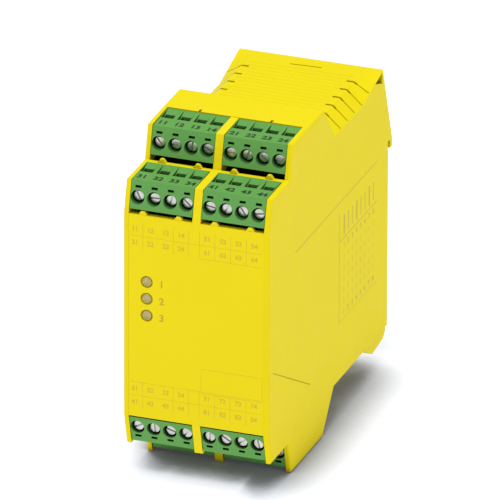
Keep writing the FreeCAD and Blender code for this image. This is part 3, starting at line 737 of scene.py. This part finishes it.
def screw_mesh():
    """One slotted head with a crowned rim, and its shank."""
    radius = SCREW_RADIUS
    # radius and depth, from the crown to the end of the shank
    head = [
        (radius * 0.55, 0.0), (radius * 0.86, 0.06 * MM), (radius * 0.97, 0.2 * MM),
        (radius, 0.42 * MM), (radius, 1.5 * MM), (radius * 0.66, 1.6 * MM),
        (radius * 0.62, 6.0 * MM),
    ]
    bm = bmesh.new()
    lathe(bm, head, SCREW_SIDES)
    obj = object_from("screw", bm)
    bm = bmesh.new()
    past_rim = radius * SCREW_SLOT_LENGTH
    box_mesh(bm, (-past_rim, -1.0 * MM, -SCREW_SLOT_HALF),
             (past_rim, SCREW_SLOT_DEPTH, SCREW_SLOT_HALF))
    carve(obj, object_from("slot", bm))
    mesh = obj.data
    bpy.data.objects.remove(obj)
    return mesh


def build_screws(tier, hand, mesh):
    xs, front, height = pole_places(tier, hand)
    first_turn = len(tier) * TURN_PER_LETTER + TURN_OF_HAND[hand]
    first_turn += TURN_AT_BACK if "back" in tier else 0
    bm = bmesh.new()
    for number, x in enumerate(xs):
        turn = math.radians((first_turn + number * TURN_STEP) % 180)
        place = Matrix.Translation((x, front + HEAD_SET_BACK, height))
        gather(bm, mesh, place @ Matrix.Rotation(-turn, 4, "Y"))
    obj = object_from(f"screw_set_{tier}_{hand}", bm)
    smooth(obj, SCREW_SMOOTH_ANGLE)
    finish_piece(obj, f"terminal_plug_{tier}_{hand}", "screw_steel", f"screws_{tier}_{hand}")


def build_numbers(tier, hand):
    """Plain pole numbers printed on the front part of the wire face."""
    sign = sign_of(tier)
    low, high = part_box(f"plug_{tier}_{hand}")
    xs = pole_places(tier, hand)[0]
    level = (high.z if sign > 0 else low.z) - sign * PLUG_NUMBER_DROP
    row = TIERS.index(tier) * len(HANDS) + HANDS.index(hand) + 1
    tilt = math.atan2(TREAD_RISE, TREAD_RUN)
    lie = Matrix.Rotation(tilt if sign > 0 else math.pi - tilt, 4, "X")
    marks = []
    for number, x in enumerate(xs):
        mesh = number_mesh(f"{row}{number + 1}", PLUG_NUMBER_SIZE, PLUG_NUMBER_THICK)
        place = Matrix.Translation((x, low.y + PLUG_NUMBER_BACK, level))
        marks.append((mesh, place @ lie))
    print_on(f"plug_numbers_{tier}_{hand}", marks, "plug_ink",
             f"terminal_plug_{tier}_{hand}")


# ---------------------------------------------------------------------------
# Lenses, and the print on the front panel and on the right side wall
# ---------------------------------------------------------------------------

LENS_RADIUS = 1.5 * MM
LENS_SIDES = 32
LENS_SMOOTH_ANGLE = 40.0

# Half the panel's height, and the two tables near its ends: how far in from the end their
# rows of numbers are, the margin round the rows, and half their width
PANEL_HALF = 32.2 * MM
ROWS_IN = (4.6 * MM, 8.9 * MM)
TABLE_MARGIN = 2.1 * MM
TABLE_HALF = 20.4 * MM
TABLE_UPRIGHTS = (-16.5, -7.07, -2.34, 1.0, 5.76, 10.6, 15.5)
TABLE_SPLIT = 1.0 * MM
LEFT_COLUMNS = [-18.9 + 4.75 * number for number in range(POLES)]
RIGHT_COLUMNS = [3.4 + 4.85 * number for number in range(POLES)]
TABLE_NUMBER_SIZE = 2.1 * MM
LENS_NUMBER_SIZE = 3.0 * MM
LENS_NUMBER_ASIDE = 2.6 * MM
LENS_NUMBER_DROP = 0.3 * MM
# Blank field in the lower right of the panel: its sides, foot and head
FIELD_LEFT, FIELD_RIGHT, FIELD_FOOT, FIELD_HEAD = 1.6 * MM, 20.4 * MM, 30.8 * MM, 38.6 * MM
PANEL_LINE_HALF = 0.06 * MM
PANEL_PRINT_IN = 0.04 * MM
PANEL_NUMBER_THICK = 0.01 * MM
# Upright bars stand a hair prouder than level ones, so that crossings share no face
PANEL_LEVEL_THICK, PANEL_UPRIGHT_THICK = 0.009 * MM, 0.012 * MM

# Print on the side wall, in millimetres back from the front face and up from the base
RULE_ENDS = ((22.8, 69.5), (92.7, 69.5))
CHART_LEFT, CHART_RIGHT = 60.4, 92.8
CHART_TOP, CHART_MIDDLE, CHART_FOOT = 66.0, 56.8, 31.0
CHART_COLUMNS = [64.5 + 3.6 * number for number in range(8)]
STROKE_TOP, STROKE_FOOT = 63.8, 58.4
CHART_NUMBER_ROWS = (54.6, 33.0)
CHART_NUMBER_SIZE = 2.2 * MM
CHART_NUMBER_THICK = 0.008 * MM
DASHES = [(51.6 - 3.5 * number, 49.8 - 3.5 * number) for number in range(5)]
# Half the width of each kind of line; every third stroke is thin
CHART_LINE_HALF, CHART_FOOT_HALF, DASH_HALF = 0.12, 0.05, 0.1
STROKE_HALF, THIRD_STROKE_HALF = 0.25, 0.45
SIDE_PRINT_IN = 0.03 * MM
SIDE_PRINT_SUNK = 0.02
SIDE_LEVEL_PROUD, SIDE_UPRIGHT_PROUD = 0.01, 0.014


def build_lens(number):
    """Dished end of a light guide, with its collar and stem."""
    node = f"status_lens_{number}"
    low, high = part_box(node)
    middle = middle_of(node)
    radius = LENS_RADIUS
    # radius and depth, from the middle of the dish to the end of the stem
    profile = [
        (radius * 0.2, 0.34 * MM), (radius * 0.5, 0.27 * MM), (radius * 0.7, 0.12 * MM),
        (radius * 0.78, 0.02 * MM), (radius * 0.88, 0.02 * MM), (radius * 0.97, 0.14 * MM),
        (radius, 0.45 * MM), (radius, 1.75 * MM), (radius * 1.38, 1.8 * MM),
        (radius * 1.38, 2.6 * MM), (radius * 0.8, 2.7 * MM), (radius * 0.8, high.y - low.y),
    ]
    bm = bmesh.new()
    lathe(bm, profile, LENS_SIDES, Matrix.Translation((middle.x, low.y, middle.z)))
    obj = object_from(f"lens_{number}", bm)
    smooth(obj, LENS_SMOOTH_ANGLE)
    finish_piece(obj, "housing", "lens_clear", node)


def build_panel_print():
    """Two tables of plain numbers, a blank field, and a number beside each lens."""
    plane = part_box("front_cover")[0].y + PANEL_PRINT_IN
    upright = Matrix.Rotation(math.pi / 2.0, 4, "X")
    marks = []

    def bar(x1, z1, x2, z2):
        low, high = bar_ends((x1, z1), (x2, z2), PANEL_LINE_HALF)
        thick = PANEL_LEVEL_THICK if z1 == z2 else PANEL_UPRIGHT_THICK
        mesh = bar_mesh((low[0], -thick, low[1]), (high[0], thick, high[1]))
        marks.append((mesh, Matrix.Translation((0.0, plane, 0.0))))

    def numbered(word, x, z, size):
        mesh = number_mesh(str(word), size, PANEL_NUMBER_THICK)
        return mesh, Matrix.Translation((x, plane, z)) @ upright

    near, far = ROWS_IN
    panel_top, panel_foot = MID + PANEL_HALF, MID - PANEL_HALF
    tables = ((panel_top - near, panel_top - far, 1), (panel_foot + far, panel_foot + near, 3))
    for upper, lower, first in tables:
        middle = (upper + lower) / 2.0
        head, foot = upper + TABLE_MARGIN, lower - TABLE_MARGIN
        bar(-TABLE_HALF, middle, TABLE_HALF, middle)
        # one rule parts each table from the field between them
        if first == 1:
            bar(TABLE_SPLIT, foot, TABLE_HALF, foot)
        else:
            bar(-TABLE_HALF, head, TABLE_HALF, head)
        for x in TABLE_UPRIGHTS:
            bar(x * MM, foot, x * MM, head)
        for row, z in ((first, upper), (first + 1, lower)):
            for shown, columns in ((row, LEFT_COLUMNS), (row + POLES, RIGHT_COLUMNS)):
                for column, x in enumerate(columns):
                    word = f"{shown}{column + 1}"
                    marks.append(numbered(word, x * MM, z, TABLE_NUMBER_SIZE))
    bar(FIELD_LEFT, FIELD_FOOT, FIELD_RIGHT, FIELD_FOOT)
    bar(FIELD_LEFT, FIELD_HEAD, FIELD_RIGHT, FIELD_HEAD)
    bar(FIELD_LEFT, FIELD_FOOT, FIELD_LEFT, FIELD_HEAD)
    bar(FIELD_RIGHT, FIELD_FOOT, FIELD_RIGHT, FIELD_HEAD)
    print_on("panel_print", marks, "panel_ink", "housing")
    lens_numbers = []
    for count in range(1, LENSES + 1):
        node = f"status_lens_{count}"
        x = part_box(node)[1].x + LENS_NUMBER_ASIDE
        z = middle_of(node).z - LENS_NUMBER_DROP
        lens_numbers.append(numbered(count, x, z, LENS_NUMBER_SIZE))
    print_on("lens_numbers", lens_numbers, "side_ink", "housing")


def build_side_print():
    """A rule, and a chart of strokes, dashes and plain numbers, on the right side wall."""
    plane = SIDE - SIDE_PRINT_IN
    turned = Matrix.Rotation(math.pi / 2.0, 4, "Z") @ Matrix.Rotation(math.pi / 2.0, 4, "X")
    marks = []

    def bar(start, end, half):
        low, high = bar_ends(start, end, half)
        proud = SIDE_LEVEL_PROUD if start[1] == end[1] else SIDE_UPRIGHT_PROUD
        corners = [Vector(corner) * MM for corner in ((-SIDE_PRINT_SUNK, *low), (proud, *high))]
        marks.append((bar_mesh(*corners), Matrix.Translation((plane, FRONT, 0.0))))

    bar(*RULE_ENDS, CHART_LINE_HALF)
    bar((CHART_LEFT, CHART_TOP), (CHART_LEFT, CHART_FOOT), CHART_LINE_HALF)
    bar((CHART_LEFT, CHART_MIDDLE), (CHART_RIGHT, CHART_MIDDLE), CHART_LINE_HALF)
    bar((CHART_LEFT, CHART_FOOT), (CHART_RIGHT, CHART_FOOT), CHART_FOOT_HALF)
    for count, depth in enumerate(CHART_COLUMNS):
        half = STROKE_HALF if count % 3 else THIRD_STROKE_HALF
        bar((depth, STROKE_TOP), (depth, STROKE_FOOT), half)
        mesh = number_mesh(str(count + 1), CHART_NUMBER_SIZE, CHART_NUMBER_THICK)
        for height in CHART_NUMBER_ROWS:
            place = Matrix.Translation((plane, FRONT + depth * MM, height * MM))
            marks.append((mesh, place @ turned))
        for top, foot in DASHES:
            bar((depth, top), (depth, foot), DASH_HALF)
    print_on("side_print", marks, "side_ink", "housing")


build_housing()
build_cover()
build_catch()
single_screw = screw_mesh()
for tier in TIERS:
    for hand in HANDS:
        build_plug(tier, hand)
        build_screws(tier, hand, single_screw)
        build_numbers(tier, hand)
for count in range(1, LENSES + 1):
    build_lens(count)
build_panel_print()
build_side_print()


# ---------------------------------------------------------------------------
# Floor, light and camera
# ---------------------------------------------------------------------------

FLOOR_HALF = 6.0
FLOOR_THICK = 0.02
# the paper's dark bluish base shows only where its glow fades, and tints the painted shadow
PAPER_SHADOW_BLUE, PAPER_SHADOW_DEEP_BLUE = (0.21, 0.22, 0.28, 1.0), (0.2, 0.21, 0.27, 1.0)
PAPER_GLOW = (0.96, 0.97, 1.0, 1.0)
# How much the paper glows, from closed in to open, and the shares of open sky for both; where
# the glow fades it shows a painted contact shadow
GLOW_LEAST, GLOW_MOST = 0.04, 0.95
GLOW_CLOSED, GLOW_OPEN = 0.47, 0.86
# How far a surface shades the paper: in front and to the left, further to the right, and
# further again behind, with the places between which each grows
SHADE_NEAR, SHADE_RIGHT, SHADE_BEHIND = 14.0 * MM, 25.0 * MM, 45.0 * MM
RIGHT_FROM, RIGHT_TO = 12.0 * MM, 24.0 * MM
BEHIND_FROM, BEHIND_TO = 54.0 * MM, 66.0 * MM

WHITE = (1.0, 1.0, 1.0)
# Name, diameter in metres, power in watts, place and colour of each lamp
LIGHTS = (
    ("key", 0.6, 2.4, (-0.3, -0.6, 0.8), WHITE),
    ("overhead", 0.8, 6.6, (0.1, 0.1, 1.2), (0.93, 1.0, 0.72)),
    ("fill", 0.6, 1.2, (0.8, -0.45, 0.45), WHITE),
)
LIGHTS_AIM = (0.0, 0.0, 0.05)
SURROUND_COLOUR = (1.0, 0.985, 0.99, 1.0)
SURROUND_STRENGTH = 0.47

# Camera: degrees round from the front, up and of roll; metres away; millimetres of lens
CAMERA_AZIMUTH, CAMERA_ELEVATION, CAMERA_ROLL = 20.05, 24.18, 0.19
CAMERA_DISTANCE = 4.756
CAMERA_TARGET = (2.86, -15.29, 60.91)
CAMERA_SENSOR = 36.0
CAMERA_LENS = 1173.096


def build_floor():
    bm = bmesh.new()
    box_mesh(bm, (-FLOOR_HALF, -FLOOR_HALF, -FLOOR_THICK), (FLOOR_HALF, FLOOR_HALF, 0.0))
    floor = object_from("floor", bm)
    n = Nodes("floor_paper")
    n.feed("Base Color", n.mottle(n.noise(PAPER_CELLS), PAPER_SHADOW_BLUE, PAPER_SHADOW_DEEP_BLUE))
    n.fix("Roughness", 0.9)
    # painted contact shadow: the paper glows, except where something stands close above it or
    # beside it
    split = n.new("ShaderNodeSeparateXYZ")
    n.link(n.place, split.inputs["Vector"])
    beside = n.spread(split.outputs["X"], SHADE_NEAR, SHADE_RIGHT, RIGHT_FROM, RIGHT_TO)
    behind = n.spread(split.outputs["Y"], 0.0, SHADE_BEHIND, BEHIND_FROM, BEHIND_TO)
    reach = n.new("ShaderNodeMath", operation="ADD")
    n.link(beside, reach.inputs[0])
    n.link(behind, reach.inputs[1])
    sky = n.open_sky(16)
    n.link(reach.outputs[0], sky.inputs["Distance"])
    n.fix("Emission Color", PAPER_GLOW)
    glow_with_painted_shadow = n.spread(sky.outputs["AO"], GLOW_LEAST, GLOW_MOST, GLOW_CLOSED, GLOW_OPEN)
    n.feed("Emission Strength", glow_with_painted_shadow)
    floor.data.materials.append(n.material)


def add_light(name, size, energy, place, colour):
    data = bpy.data.lights.new(name, "AREA")
    data.shape = "DISK"
    data.size = size
    data.energy = energy
    data.color = colour
    obj = add_object(name, data)
    obj.location = place
    aim = Vector(LIGHTS_AIM) - Vector(place)
    obj.rotation_euler = aim.to_track_quat("-Z", "Y").to_euler()


def build_stage():
    build_floor()
    world = bpy.data.worlds.new("studio")
    world.use_nodes = True
    background = world.node_tree.nodes["Background"]
    background.inputs["Color"].default_value = SURROUND_COLOUR
    background.inputs["Strength"].default_value = SURROUND_STRENGTH
    bpy.context.scene.world = world
    for light in LIGHTS:
        add_light(*light)
    bpy.context.scene.view_settings.view_transform = "Standard"
    bpy.context.scene.view_settings.look = "None"


def build_camera():
    azimuth = math.radians(CAMERA_AZIMUTH)
    elevation = math.radians(CAMERA_ELEVATION)
    roll = math.radians(CAMERA_ROLL)
    level = math.cos(elevation)
    back = Vector((math.sin(azimuth) * level, -math.cos(azimuth) * level, math.sin(elevation)))
    right = Vector((math.cos(azimuth), math.sin(azimuth), 0.0))
    up = back.cross(right)
    turned_right = math.cos(roll) * right + math.sin(roll) * up
    turned_up = -math.sin(roll) * right + math.cos(roll) * up
    rotation = Matrix((turned_right, turned_up, back)).transposed().to_4x4()
    data = bpy.data.cameras.new("camera")
    data.sensor_width = CAMERA_SENSOR
    data.lens = CAMERA_LENS
    data.clip_start = 0.5
    data.clip_end = 60.0
    camera = add_object("camera", data)
    place = Vector(CAMERA_TARGET) * MM + back * CAMERA_DISTANCE
    camera.matrix_world = Matrix.Translation(place) @ rotation
    bpy.context.scene.camera = camera


build_stage()
build_camera()
